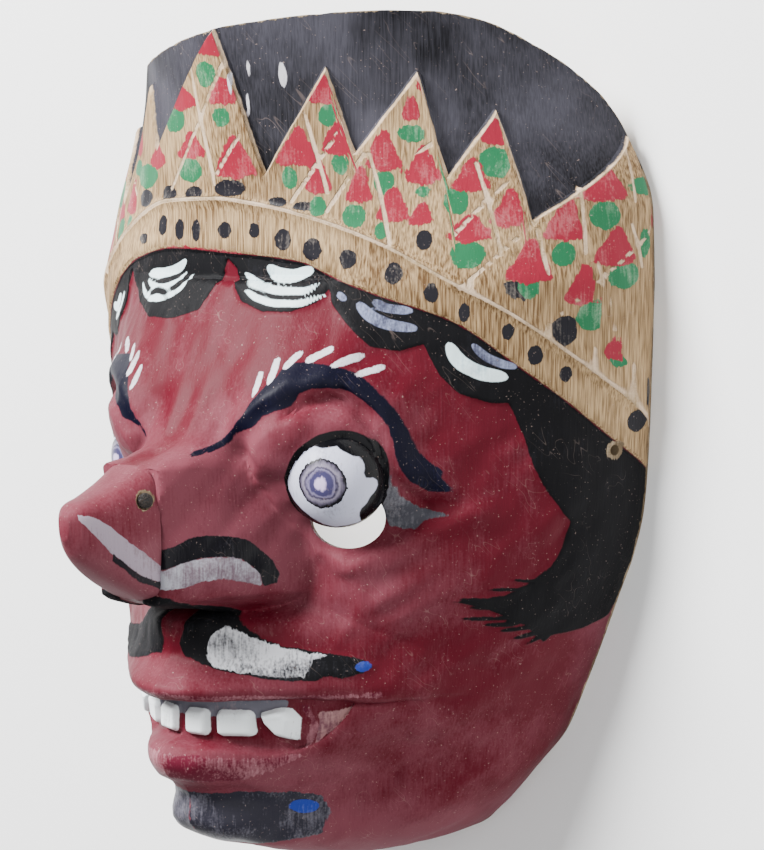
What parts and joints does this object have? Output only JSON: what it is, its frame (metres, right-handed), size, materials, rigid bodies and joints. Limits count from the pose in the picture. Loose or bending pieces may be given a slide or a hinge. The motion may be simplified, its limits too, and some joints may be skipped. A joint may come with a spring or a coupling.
{
  "type": "wayang mask",
  "caption": "Carved and painted wooden dance mask: an ogre face with bulging eyes, bared fangs, a long nose with a nailed tip and a leaf crown, hollow behind.",
  "frame": {"origin": "centre of the bounding box, on the plane of the flat back rim", "axes": "+Z out of the face, along the nose; +Y up the face towards the crown; +X towards the side of the face that the picture shows in full"},
  "size_m": [0.1473, 0.1895, 0.1074],
  "materials": {
    "painted_wood": "crimson and polychrome oil paint, worn to bare wood at the rims",
    "tip_wood": "worn rose paint",
    "nail_iron": "dull dark iron"
  },
  "bodies": {
    "root": {"mask": "painted_wood", "nose_tip": "tip_wood", "nose_nail": "nail_iron"}
  },
  "joints": []
}
